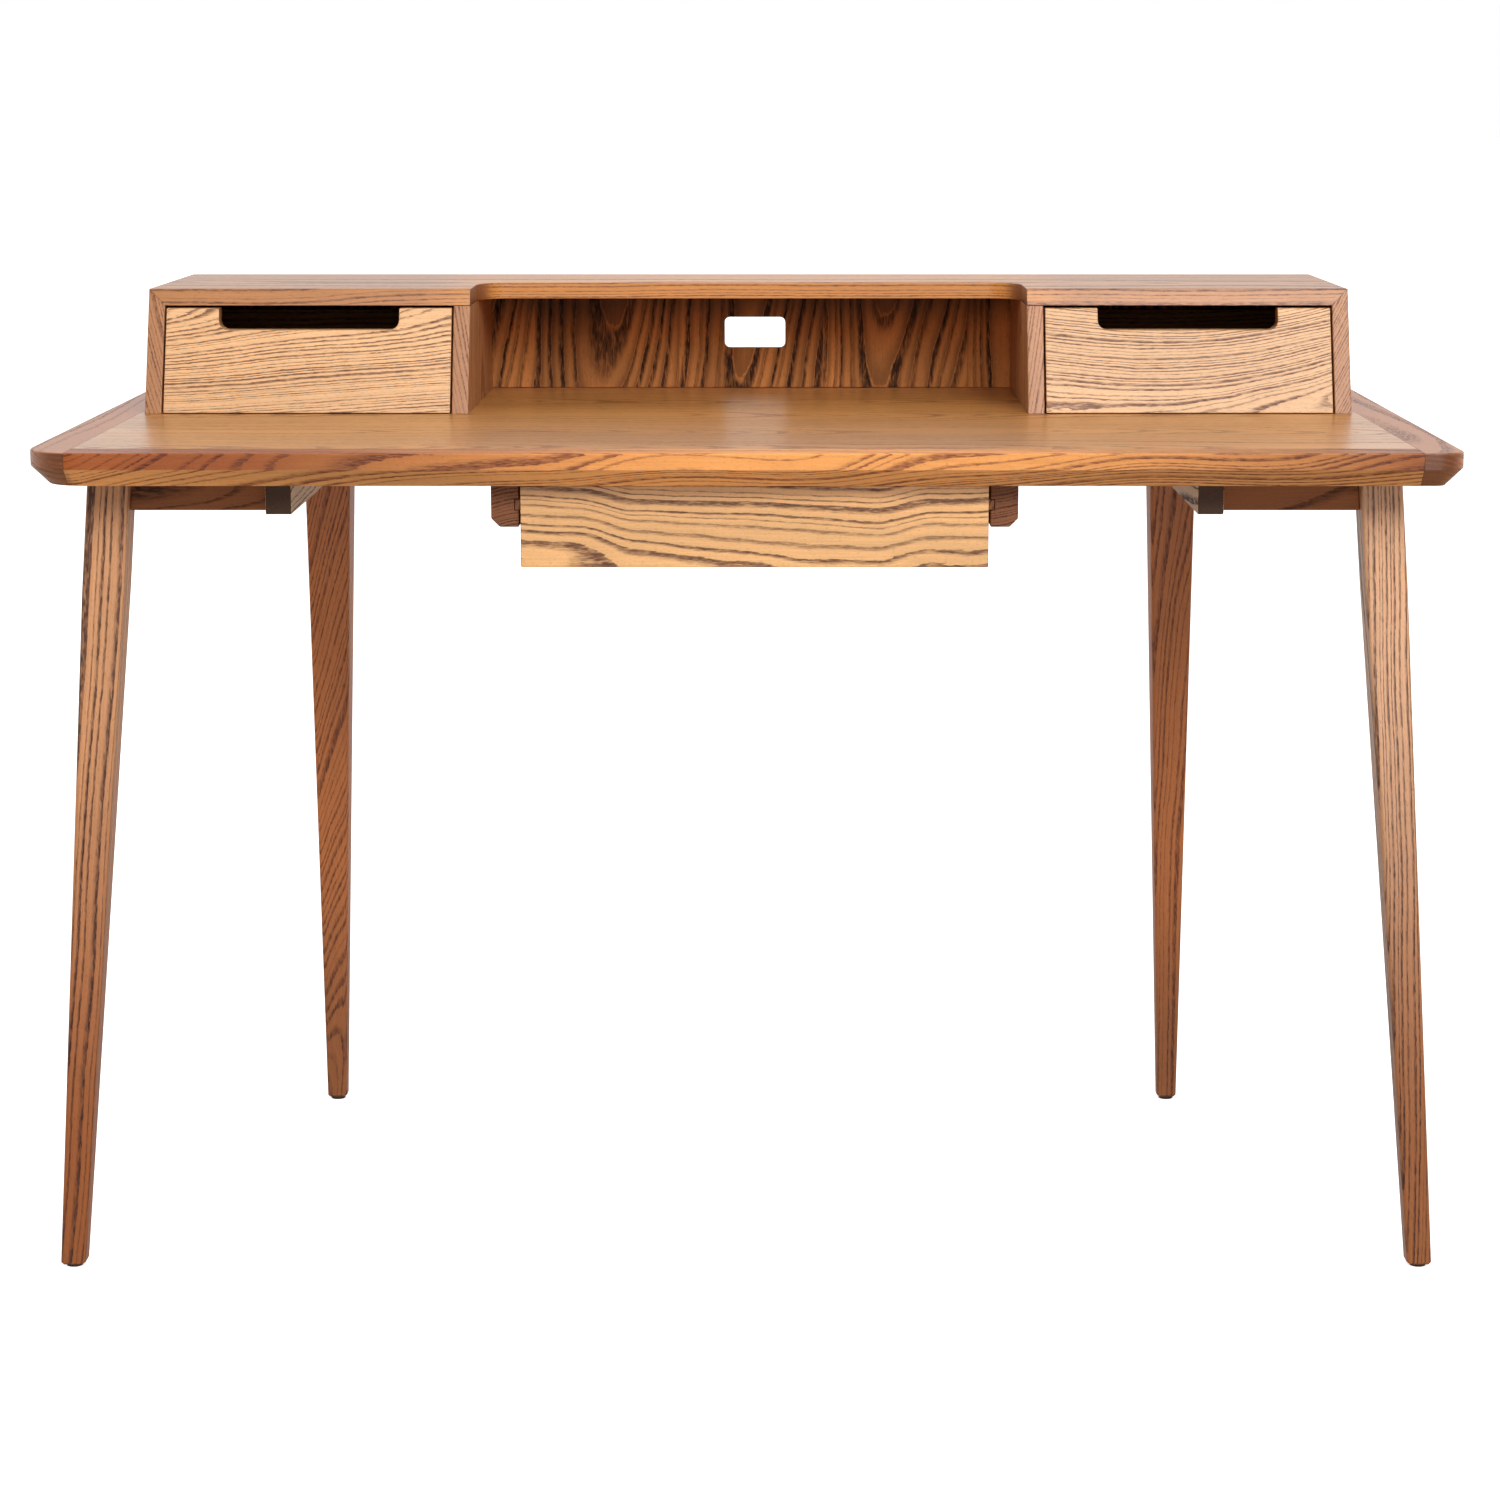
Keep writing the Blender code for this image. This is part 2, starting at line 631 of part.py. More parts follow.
def make_frame():
    beams, rails = {}, {}
    for side, name in ((-1, "left"), (1, "right")):
        across = sorted((side * BEAM_INNER, side * (BEAM_INNER + BEAM_THICK)))
        beam = block(
            f"beam_{name}",
            (across[0], back(BEAM_FRONT), FRAME_LOW),
            (across[1], back(REAR_LEG_TOP[1] - REAR_LEG_HEAD / 2) - GAP, UNDERSIDE - GAP),
        )
        beams[name] = place(beam, ASH_FRAME, DESK)
        ease(beam)

        reach = sorted((side * (BEAM_INNER + BEAM_THICK + GAP), side * FRONT_LEG_TOP[0]))
        rail = block(
            f"front_rail_{name}",
            (reach[0], back(RAIL_FRONT), FRAME_LOW),
            (reach[1], back(RAIL_FRONT + RAIL_THICK), UNDERSIDE - GAP),
        )
        trim(rail, *leg_inner_plane(side, GAP))
        rails[name] = place(rail, ASH_FRAME, DESK)
        ease(rail)

        for row, top, foot, *shape in (
            ("front", FRONT_LEG_TOP, FRONT_LEG_FOOT, FRONT_LEG_HEAD, FRONT_LEG_SOLE, LEG_SHOULDER),
            ("rear", REAR_LEG_TOP, REAR_LEG_FOOT, REAR_LEG_HEAD, REAR_LEG_SOLE, UNDERSIDE - GAP),
        ):
            make_leg(f"leg_{row}_{name}", (side * top[0], top[1]), (side * foot[0], foot[1]), *shape)
    return beams, rails


# ---- Fasteners ---------------------------------------------------------------------------------------


def cylinder(name, radius, low, high, x, y):
    bpy.ops.mesh.primitive_cylinder_add(
        vertices=SCREW_SIDES, radius=radius, depth=high - low, location=(x, y, (low + high) / 2)
    )
    shape = bpy.context.object
    shape.name = name
    return shape


def drive_screw(name, x, y, low, carrier, top_piece):
    """A pan-head screw up through a member into the top, in a counterbore and a clearance hole."""
    seat = low + COUNTERBORE
    tip = UNDERSIDE + SCREW_GRIP
    profile = (
        (0.0, tip),
        (SCREW_SHANK, tip - SCREW_SHANK),
        (SCREW_SHANK, seat),
        (SCREW_HEAD, seat),
        (SCREW_HEAD, seat - SCREW_HEAD_THICK / 2),
        (SCREW_HEAD * 0.7, seat - SCREW_HEAD_THICK),
        (0.0, seat - SCREW_HEAD_THICK),
    )
    outline = bpy.data.meshes.new(name)
    points = [(radius, 0.0, height) for radius, height in profile]
    outline.from_pydata(points, [(i, i + 1) for i in range(len(points) - 1)], [])
    screw = bpy.data.objects.new(name, outline)
    bpy.context.scene.collection.objects.link(screw)
    screw.location = (x, y, 0.0)
    turn = screw.modifiers.new("turned", "SCREW")
    turn.steps = turn.render_steps = SCREW_SIDES
    turn.use_merge_vertices = True
    turn.merge_threshold = 0.00001
    place(screw, STEEL, DESK)
    head_hole = cylinder(f"{name}_counterbore", SCREW_HEAD + SCREW_CLEARANCE, low - OVERSIZE, seat + GAP, x, y)
    shank_radius = SCREW_SHANK + SCREW_CLEARANCE
    shank_hole = cylinder(f"{name}_hole", shank_radius, low - OVERSIZE, tip + SCREW_SHANK, x, y)
    cut(carrier, as_cutter(head_hole))
    cut(carrier, as_cutter(shank_hole))
    cut(top_piece, shank_hole)


def make_screws(beams, rails, panel):
    beam_run = REAR_LEG_TOP[1] - BEAM_FRONT
    for side, name in ((-1, "left"), (1, "right")):
        x = side * (BEAM_INNER + BEAM_THICK / 2)
        for place_on_beam, share in (("front", 0.16), ("middle", 0.5), ("rear", 0.84)):
            y = back(BEAM_FRONT + share * beam_run)
            drive_screw(f"screw_beam_{name}_{place_on_beam}", x, y, FRAME_LOW, beams[name], panel)
        rail_middle = (BEAM_INNER + BEAM_THICK + FRONT_LEG_TOP[0] - FRONT_LEG_HEAD / 2) / 2
        y = back(RAIL_FRONT + RAIL_THICK / 2)
        drive_screw(f"screw_rail_{name}", side * rail_middle, y, FRAME_LOW, rails[name], panel)
        cleat = bpy.data.objects[f"cleat_{name}"]
        cleat_x = CENTRE_OFFSET + side * (CENTRE_WIDTH / 2 + REVEAL + CLEAT_WIDTH * 0.62)
        for end, distance in (("front", CLEAT_FRONT + 0.06), ("rear", CLEAT_REAR - 0.06)):
            drive_screw(f"screw_cleat_{name}_{end}", cleat_x, back(distance), CLEAT_LOW, cleat, panel)


# ---- The desk ----------------------------------------------------------------------------------------

top_pieces = make_top(make_top_blank())
make_hutch()
make_hutch_drawer("left_drawer", (-SIDE_INNER, -DIVIDER_OUTER))
make_hutch_drawer("right_drawer", (DIVIDER_OUTER, SIDE_INNER))
make_hung_drawer()
frame_beams, frame_rails = make_frame()
make_screws(frame_beams, frame_rails, top_pieces["top_panel"])
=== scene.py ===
"""The looks of an ash writing desk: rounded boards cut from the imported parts, and a solid ash figure in each.

Metres, +Z up, the front faces -Y. Every board keeps its place and size. Its figure is worked out in the
board's own directions: along the grain, across the face, and into the board.
"""

import json
import math

import bmesh
import bpy
from mathutils import Matrix, Vector


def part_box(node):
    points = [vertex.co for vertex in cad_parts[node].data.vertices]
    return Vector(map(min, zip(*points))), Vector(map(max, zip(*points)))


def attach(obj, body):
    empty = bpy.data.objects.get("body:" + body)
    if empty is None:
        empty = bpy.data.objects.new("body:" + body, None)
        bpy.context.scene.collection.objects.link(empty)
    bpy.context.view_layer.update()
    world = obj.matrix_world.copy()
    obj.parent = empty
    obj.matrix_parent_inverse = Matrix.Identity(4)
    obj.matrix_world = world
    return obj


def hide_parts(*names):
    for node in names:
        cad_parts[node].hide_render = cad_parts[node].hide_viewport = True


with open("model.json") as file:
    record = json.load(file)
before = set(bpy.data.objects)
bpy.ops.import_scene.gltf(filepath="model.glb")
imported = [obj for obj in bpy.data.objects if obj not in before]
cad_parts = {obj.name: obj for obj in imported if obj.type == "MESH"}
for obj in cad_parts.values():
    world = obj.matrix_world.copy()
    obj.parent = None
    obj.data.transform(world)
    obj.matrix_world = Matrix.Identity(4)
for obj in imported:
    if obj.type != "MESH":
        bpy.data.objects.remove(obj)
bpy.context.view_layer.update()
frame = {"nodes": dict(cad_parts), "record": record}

nodes = frame["nodes"]
scene = bpy.context.scene

X, Y, Z = Vector((1, 0, 0)), Vector((0, 1, 0)), Vector((0, 0, 1))
MILLIMETRE = 0.001


# ---- Colours -----------------------------------------------------------------------------------------


def srgb(red, green, blue):
    """A linear colour from the 0 to 255 values that a colour picker shows."""
    def linear(value):
        share = value / 255
        return share / 12.92 if share <= 0.04045 else ((share + 0.055) / 1.055) ** 2.4

    return (linear(red), linear(green), linear(blue), 1.0)


# ---- Node building -----------------------------------------------------------------------------------


# The Mix node has sockets of the same names for each type of data, so its colours are picked by their place.
MIX_COLOUR_A, MIX_COLOUR_B, MIX_COLOUR_RESULT = 6, 7, 2


class Graph:
    """Adds nodes to one node tree. Each input is a number, a vector, a colour or another node's output."""

    def __init__(self, tree):
        self.tree = tree

    def feed(self, socket, value):
        if isinstance(value, bpy.types.NodeSocket):
            self.tree.links.new(value, socket)
        elif value is not None:
            socket.default_value = value

    def add(self, kind, inputs, output=0, **settings):
        made = self.tree.nodes.new(kind)
        for name, value in settings.items():
            setattr(made, name, value)
        for key, value in inputs.items():
            self.feed(made.inputs[key], value)
        return made.outputs[output]

    def math(self, operation, first, second=None, third=None):
        values = {0: first, 1: second, 2: third}
        inputs = {key: value for key, value in values.items() if value is not None}
        return self.add("ShaderNodeMath", inputs, operation=operation)

    def vector(self, operation, first, second=None, scale=None):
        inputs = {0: first}
        if second is not None:
            inputs[1] = second
        if scale is not None:
            inputs["Scale"] = scale
        output = 1 if operation in ("LENGTH", "DOT_PRODUCT") else 0
        return self.add("ShaderNodeVectorMath", inputs, output, operation=operation)

    def split(self, vector):
        made = self.tree.nodes.new("ShaderNodeSeparateXYZ")
        self.feed(made.inputs[0], vector)
        return made.outputs[0], made.outputs[1], made.outputs[2]

    def join(self, x, y, z):
        return self.add("ShaderNodeCombineXYZ", {0: x, 1: y, 2: z})

    def ramp(self, value, low, high, to_low=0.0, to_high=1.0):
        """A smooth step from to_low, below low, to to_high, above high."""
        inputs = {"Value": value, "From Min": low, "From Max": high, "To Min": to_low, "To Max": to_high}
        return self.add("ShaderNodeMapRange", inputs, interpolation_type="SMOOTHSTEP")

    def noise(self, vector, stretch, detail=1.0, roughness=0.5, output=0):
        """Noise with its features this many to the metre along, across and into the board."""
        place = self.vector("MULTIPLY", vector, stretch)
        inputs = {"Vector": place, "Scale": 1.0, "Detail": detail, "Roughness": roughness}
        return self.add("ShaderNodeTexNoise", inputs, output)

    def line_noise(self, place, detail=0.0):
        inputs = {"W": place, "Scale": 1.0, "Detail": detail}
        return self.add("ShaderNodeTexNoise", inputs, noise_dimensions="1D")

    def random(self, place):
        return self.add("ShaderNodeTexWhiteNoise", {"W": place}, noise_dimensions="1D")

    def mix(self, factor, first, second, blend="MIX"):
        inputs = {0: factor, MIX_COLOUR_A: first, MIX_COLOUR_B: second}
        return self.add("ShaderNodeMix", inputs, MIX_COLOUR_RESULT, data_type="RGBA", blend_type=blend)


# ---- The figure of ash -------------------------------------------------------------------------------

FIGURE_INPUTS = (
    "Ring",  # width of one year's growth
    "Heart across",  # where the tree's heart lies from the board's origin
    "Heart below",
    "Lean across",  # how far the heart drifts off for each metre along the grain
    "Lean below",
    "Sway across",  # slow bends of the grain
    "Sway below",
    "Waver",  # short bends of the grain
    "Sag",  # how the lines curve up to both ends of the board, as a rise for each square metre along the grain
    "Bowl",  # depth of a dip between two shoulders
    "Shoulder",  # how far from the origin the shoulders are
    "Outwards",  # 0 where the porous edge of a ring is the one nearer the heart, 1 where it is the far one
    "Leaf",  # width of one leaf of veneer, or 0 in solid wood
    "Seed",
)


def figure_group():
    """Growth rings round a wandering heart, cut by the board, with the pores that make ash's open grain."""
    tree = bpy.data.node_groups.new("ash_figure", "ShaderNodeTree")
    tree.interface.new_socket("Board", in_out="INPUT", socket_type="NodeSocketVector")
    for name in FIGURE_INPUTS:
        tree.interface.new_socket(name, in_out="INPUT", socket_type="NodeSocketFloat")
    for name in ("Early", "Pores", "Late", "Tone", "Fibre"):
        tree.interface.new_socket(name, in_out="OUTPUT", socket_type="NodeSocketFloat")
    given = tree.nodes.new("NodeGroupInput").outputs
    graph = Graph(tree)

    # One leaf of veneer after another: each has its own middle and its own seed.
    along, across, below = graph.split(given["Board"])
    leafed = graph.math("GREATER_THAN", given["Leaf"], 0.0)
    leaf_width = graph.math("MAXIMUM", given["Leaf"], MILLIMETRE)
    leaf = graph.math("ROUND", graph.math("DIVIDE", across, leaf_width))
    leaf = graph.math("MULTIPLY", leaf, leafed)
    across = graph.math("SUBTRACT", across, graph.math("MULTIPLY", leaf, leaf_width))
    seed = graph.math("MULTIPLY_ADD", leaf, 0.37, given["Seed"])
    place = graph.join(along, across, below)
    place = graph.vector("ADD", place, graph.join(seed, graph.math("MULTIPLY", seed, 1.7), seed))

    # The grain bends slowly over the board, a little over a hand's width, and very finely at each pore.
    slow = graph.vector("SUBTRACT", graph.noise(place, (2.6, 5.0, 5.0), output=1), (0.5, 0.5, 0.5))
    middle = graph.vector("SUBTRACT", graph.noise(place, (13.0, 30.0, 30.0), 2.0, output=1), (0.5, 0.5, 0.5))
    ragged = graph.math("SUBTRACT", graph.noise(place, (110.0, 700.0, 700.0), 2.0, 0.6), 0.5)
    slow_x, slow_y, _ = graph.split(slow)
    middle_x, middle_y, _ = graph.split(middle)

    dip = graph.math("MULTIPLY", given["Shoulder"], 0.68)
    bowl = graph.ramp(graph.math("ABSOLUTE", along), dip, given["Shoulder"])
    bowl = graph.math("MULTIPLY", bowl, given["Bowl"])
    bowl = graph.math("MULTIPLY_ADD", graph.math("MULTIPLY", along, along), given["Sag"], bowl)

    def heart_distance(position, heart, lean, sway, slow_part, middle_part):
        moved = graph.math("SUBTRACT", position, heart)
        moved = graph.math("MULTIPLY_ADD", along, lean, moved)
        moved = graph.math("MULTIPLY_ADD", slow_part, sway, moved)
        return graph.math("MULTIPLY_ADD", middle_part, given["Waver"], moved)

    from_heart_across = heart_distance(
        graph.math("SUBTRACT", across, bowl),
        given["Heart across"], given["Lean across"], given["Sway across"], slow_x, middle_x,
    )
    from_heart_below = heart_distance(
        below, given["Heart below"], given["Lean below"], given["Sway below"], slow_y, middle_y
    )
    radius = graph.vector("LENGTH", graph.join(0.0, from_heart_across, from_heart_below))
    radius = graph.math("MULTIPLY_ADD", ragged, 1.3 * MILLIMETRE, radius)

    # Years differ in width, and each ring has its own share of porous early wood.
    years = graph.math("DIVIDE", radius, given["Ring"])
    drift = graph.line_noise(graph.math("MULTIPLY_ADD", years, 0.31, graph.math("MULTIPLY", seed, 9.1)), 1.0)
    years = graph.math("MULTIPLY_ADD", drift, 2.0, years)
    year = graph.math("FLOOR", years)
    phase = graph.math("ABSOLUTE", graph.math("SUBTRACT", graph.math("FRACT", years), given["Outwards"]))
    chance = graph.random(graph.math("ADD", year, graph.math("MULTIPLY", seed, 13.7)))
    strength = graph.ramp(chance, 0.0, 0.7, 0.55, 1.0)
    share = graph.math("MULTIPLY_ADD", chance, 0.22, 0.16)
    rise = graph.ramp(phase, 0.0, 0.07)
    fall = graph.ramp(phase, graph.math("MULTIPLY", share, 0.6), graph.math("MULTIPLY", share, 1.9), 1.0, 0.0)
    dashed = graph.ramp(graph.noise(place, (60.0, 320.0, 320.0), 2.0, 0.6), 0.34, 0.56, 0.5, 1.0)
    early = graph.math("MULTIPLY", graph.math("MULTIPLY", rise, fall), graph.math("MULTIPLY", strength, dashed))
    late = graph.ramp(phase, 0.55, 1.0)

    # Pores are short dark dashes along the grain: dense in early wood and rare elsewhere.
    coarse = graph.ramp(graph.noise(place, (120.0, 850.0, 850.0), 1.0), 0.42, 0.60)
    fine = graph.ramp(graph.noise(place, (260.0, 1900.0, 1900.0), 1.0), 0.60, 0.72)
    pores = graph.math("MULTIPLY", coarse, early)
    pores = graph.math("MAXIMUM", pores, graph.math("MULTIPLY", fine, 0.45))

    tone = graph.noise(place, (2.0, 9.0, 9.0), 2.0)
    fibre = graph.noise(place, (22.0, 520.0, 520.0), 3.0, 0.65)

    result = tree.nodes.new("NodeGroupOutput").inputs
    for name, value in (("Early", early), ("Pores", pores), ("Late", late), ("Tone", tone), ("Fibre", fibre)):
        graph.feed(result[name], value)
    return tree


ASH_FIGURE = figure_group()


class Finish:
    """A stain and lacquer: the colour between the lines, in them and in the pores, and the sheen, with painted
    light and shade on some boards.
    """

    def __init__(
        self, plain, line, pore, end, gloss=0.40, coat=0.3, shine=0.5, cloud=0.13, late=0.08, drift=None, lower=None
    ):
        self.plain, self.line, self.pore, self.end = plain, line, pore, end
        self.gloss, self.coat, self.shine = gloss, coat, shine
        self.cloud = cloud  # how far the colour drifts over a board
        self.late = late  # how dark the late wood is, as a share of the line
        self.drift = drift  # how the colour changes with the distance from a place along the board: painted light and shade on most boards, the wood's own tone on the top's lippings
        self.lower = lower  # painted light from below: a lighter, greyer tint of the board's bottom half, the chamfer of the front lipping, which the drift leaves alone


class Drift:
    """Two tints of a board: one up to `near` from a place along it, and one from `far` onwards."""

    def __init__(self, place, near, near_tint, far, far_tint, ragged=0.0):
        self.place, self.near, self.far = place, near, far
        self.near_tint, self.far_tint = (*near_tint, 1.0), (*far_tint, 1.0)
        self.ragged = ragged  # how unevenly the one gives way to the other


TOWARDS_CORNERS = Drift(0.10, 0.18, (1.0, 1.0, 1.0), 0.54, (0.46, 0.28, 0.20), ragged=0.5)
# Painted sheen: past the recess the hutch top is tinted greyer and bluer, standing in for the sheen on its raked
# edges.
PAINTED_SHEEN_PAST_THE_RECESS = Drift(0.0, 0.27, (1.0, 1.0, 1.0), 0.33, (0.78, 0.80, 1.12), ragged=0.08)
# Painted sheen and shade: the top of a front leg is tinted pinkish grey as painted sheen, and the leg is darkened
# towards its foot as painted shade.
PAINTED_SHEEN_AND_SHADE_DOWN_THE_LEG = Drift(0.37, 0.10, (1.0, 1.10, 1.45), 0.64, (0.57, 0.37, 0.21), ragged=0.08)
# Painted shade: a rear leg is darkened towards its top, in the shade under the desk, and towards its foot.
PAINTED_SHADE_FROM_MID_LEG = Drift(0.06, 0.12, (1.03, 0.94, 0.80), 0.36, (0.62, 0.58, 0.54), ragged=0.08)
# Painted shadow: the back panel is darkened in a strip just under the shelf, where the shelf's shadow falls.
PAINTED_SHADOW_UNDER_THE_SHELF = Drift(0.055, 0.008, (0.26, 0.25, 0.24), 0.055, (1.08, 1.08, 1.08), ragged=0.04)

NATURAL = Finish(
    srgb(232, 182, 130), srgb(122, 70, 32), srgb(94, 52, 24), srgb(170, 120, 76), coat=0.12
)
PALE = Finish(
    srgb(238, 180, 116), srgb(114, 62, 24), srgb(84, 44, 18), srgb(170, 120, 76), coat=0.12
)
HUTCH = Finish(
    srgb(186, 128, 82), srgb(138, 82, 44), srgb(100, 56, 28), srgb(112, 66, 38), coat=0.15, cloud=0.08
)
SHELF = Finish(
    srgb(206, 136, 62), srgb(150, 88, 38), srgb(104, 58, 26), srgb(116, 66, 36),
    coat=0.36, cloud=0.10, drift=PAINTED_SHEEN_PAST_THE_RECESS,
)
TOP = Finish(
    srgb(198, 138, 74), srgb(160, 102, 50), srgb(122, 74, 36), srgb(140, 88, 48), gloss=0.30, cloud=0.10
)
# The lippings' chamfer is lightened and greyed as painted light from below.
EDGE = Finish(
    srgb(228, 152, 78), srgb(158, 88, 42), srgb(112, 58, 28), srgb(120, 68, 36),
    coat=0.1, shine=0.35, cloud=0.2, drift=TOWARDS_CORNERS, lower=(1.14, 1.2, 1.5),
)
SIDE_EDGE = Finish(
    srgb(180, 108, 52), srgb(148, 86, 42), srgb(108, 60, 32), srgb(104, 56, 28), gloss=0.32, coat=0.1, cloud=0.10
)
BACK = Finish(
    srgb(202, 132, 70), srgb(56, 28, 13), srgb(34, 16, 8), srgb(90, 52, 28),
    gloss=0.60, coat=0.0, shine=0.25, cloud=0.32, late=0.5, drift=PAINTED_SHADOW_UNDER_THE_SHELF,
)
LEG = Finish(
    srgb(220, 150, 90), srgb(98, 52, 27), srgb(66, 34, 18), srgb(110, 66, 38),
    gloss=0.50, coat=0.1, drift=PAINTED_SHEEN_AND_SHADE_DOWN_THE_LEG,
)
# The front right leg: partly a paler board, partly painted sheen, with its base lightened to stand in for the
# brighter light and sheen on that leg.
PALE_LEG_WITH_PAINTED_SHEEN = Finish(
    srgb(232, 168, 110), srgb(120, 70, 38), srgb(80, 44, 24), srgb(110, 66, 38), gloss=0.50, drift=PAINTED_SHEEN_AND_SHADE_DOWN_THE_LEG
)
RED_LEG = Finish(
    srgb(202, 124, 70), srgb(146, 82, 44), srgb(96, 50, 26), srgb(110, 66, 38),
    gloss=0.52, coat=0.1, drift=PAINTED_SHADE_FROM_MID_LEG,
)
# The beams: their near-white base is painted sheen, standing in for the sheen on their shaded sides; their dark
# ends are end grain darkened further as painted shade.
BEAM_WITH_PAINTED_SHEEN_AND_SHADE = Finish(
    srgb(252, 210, 168), srgb(92, 56, 38), srgb(70, 42, 28), srgb(40, 18, 8), gloss=0.55, coat=0.0, shine=0.25
)
# Painted shade: a darker copy of the leg wood for the rails, cleats and runners, standing in for the shade under
# the top.
UNDER_WITH_PAINTED_SHADE = Finish(
    srgb(150, 90, 50), srgb(80, 42, 22), srgb(50, 26, 14), srgb(136, 84, 54), gloss=0.60, coat=0.0, shine=0.3
)
INSIDE = Finish(
    srgb(150, 106, 64), srgb(122, 82, 48), srgb(90, 58, 34), srgb(110, 76, 46), gloss=0.55, coat=0.0, shine=0.3
)


class Board:
    """How a board was cut: its origin, its grain and face directions, and where the tree's heart was."""

    def __init__(self, origin, grain, face, **figure):
        self.origin = Vector(origin)
        self.grain = Vector(grain).normalized()
        self.face = Vector(face).normalized()
        self.figure = figure

    def turn(self):
        across = self.face.cross(self.grain)
        return Matrix((self.grain, across, self.face)).transposed().to_euler()


def wood(name, finish, board):
    """A wood material whose figure belongs to one board."""
    material = bpy.data.materials.new(name)
    material.use_nodes = True
    tree = material.node_tree
    tree.nodes.clear()
    graph = Graph(tree)

    coordinates = tree.nodes.new("ShaderNodeTexCoord").outputs
    placing = {"Vector": coordinates["Object"], "Location": board.origin, "Rotation": board.turn()}
    in_board = graph.add("ShaderNodeMapping", placing, vector_type="TEXTURE")
    figure = tree.nodes.new("ShaderNodeGroup")
    figure.node_tree = ASH_FIGURE
    graph.feed(figure.inputs["Board"], in_board)
    for key, value in board.figure.items():
        graph.feed(figure.inputs[key], value)
    early, pores, late, tone, fibre = (figure.outputs[i] for i in range(5))

    # The ends of a board drink more stain than its faces.
    facing_end = graph.math("ABSOLUTE", graph.vector("DOT_PRODUCT", coordinates["Normal"], tuple(board.grain)))
    end = graph.ramp(facing_end, 0.45, 0.95)

    colour = graph.mix(graph.math("MULTIPLY", end, 0.95), finish.plain, finish.end)
    line = graph.math("MAXIMUM", graph.math("MULTIPLY", early, 0.94), graph.math("MULTIPLY", late, finish.late))
    colour = graph.mix(line, colour, finish.line)
    colour = graph.mix(graph.math("MULTIPLY", pores, 0.8), colour, finish.pore)
    broad = graph.ramp(tone, 0.28, 0.72, 1.0 - finish.cloud, 1.0 + finish.cloud)
    streak = graph.ramp(fibre, 0.2, 0.8, 0.90, 1.09)
    shade = graph.math("MULTIPLY", broad, streak)
    colour = graph.vector("SCALE", colour, scale=shade)
    # Painted light and shade: most drifts paint sheen, shadow and the fall-off of the light onto part of a board;
    # the lippings' drift is the wood's own tone.
    if finish.drift:
        drift = finish.drift
        along, across, _ = graph.split(in_board)
        reach = graph.math("ABSOLUTE", graph.math("SUBTRACT", along, drift.place))
        reach = graph.math("MULTIPLY_ADD", graph.math("SUBTRACT", tone, 0.5), drift.ragged, reach)
        tint = graph.mix(graph.ramp(reach, drift.near, drift.far), drift.near_tint, drift.far_tint)
        tinted = graph.vector("MULTIPLY", colour, tint)
        # Painted light from below: the board's bottom half is lightened and greyed.
        if finish.lower:
            lower = graph.vector("MULTIPLY", colour, finish.lower)
            tinted = graph.mix(graph.ramp(across, 0.0, MILLIMETRE), lower, tinted)
        colour = tinted

    roughness = graph.math("MULTIPLY_ADD", pores, 0.22, finish.gloss)
    roughness = graph.math("MULTIPLY_ADD", fibre, 0.08, roughness)
    sunk = graph.math("MULTIPLY_ADD", early, 0.35, pores)
    relief = graph.math("SUBTRACT", graph.math("MULTIPLY", fibre, 0.15), sunk)
    normal = graph.add(
        "ShaderNodeBump", {"Height": relief, "Strength": 0.35, "Distance": 0.15 * MILLIMETRE}
    )

    shader = tree.nodes.new("ShaderNodeBsdfPrincipled")
    shader.inputs["Specular IOR Level"].default_value = finish.shine
    shader.inputs["Coat Weight"].default_value = finish.coat
    shader.inputs["Coat Roughness"].default_value = 0.24
    graph.feed(shader.inputs["Base Color"], colour)
    graph.feed(shader.inputs["Roughness"], roughness)
    graph.feed(shader.inputs["Normal"], normal)
    surface = tree.nodes.new("ShaderNodeOutputMaterial").inputs["Surface"]
    tree.links.new(shader.outputs[0], surface)
    return material


# ---- Boards of the desk ------------------------------------------------------------------------------

RAKE_ANGLE = math.atan(0.395)
RAKED_FACE = Vector((0, -math.cos(RAKE_ANGLE), math.sin(RAKE_ANGLE)))
WELD = 0.02 * MILLIMETRE
ROUNDING = 2.5 * MILLIMETRE  # a face narrower than this is a strip of a rounded edge


def middle(node):
    low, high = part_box(node)
    return (low + high) / 2


def front_middle(node):
    low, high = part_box(node)
    return Vector(((low.x + high.x) / 2, low.y, (low.z + high.z) / 2))


def is_crisp(edge):
    """Whether an edge is a corner between two faces, rather than part of a rounding."""
    angle = edge.calc_face_angle(math.pi)
    widths = [face.calc_area() / edge.calc_length() for face in edge.link_faces]
    return angle > math.radians(50) or (angle > math.radians(32) and min(widths) > ROUNDING)


def smooth_copy(node, body):
    """The node's own shape with its roundings shaded smooth and its faces kept flat."""
    mesh = bpy.data.meshes.new(f"{node}_wood")
    work = bmesh.new()
    work.from_mesh(nodes[node].data)
    bmesh.ops.remove_doubles(work, verts=work.verts, dist=WELD)
    bmesh.ops.dissolve_limit(work, angle_limit=math.radians(0.5), verts=work.verts, edges=work.edges)
    for face in work.faces:
        face.smooth = True
    for edge in work.edges:
        edge.smooth = not is_crisp(edge)
    work.to_mesh(mesh)
    work.free()
    piece = bpy.data.objects.new(f"{node}_wood", mesh)
    scene.collection.objects.link(piece)
    weighted = piece.modifiers.new("flat faces", "WEIGHTED_NORMAL")
    weighted.keep_sharp = True
    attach(piece, body)
    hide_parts(node)
    return piece


BODY_OF = {name: body for body, names in frame["record"]["behaviour"]["bodies"].items() for name in names}


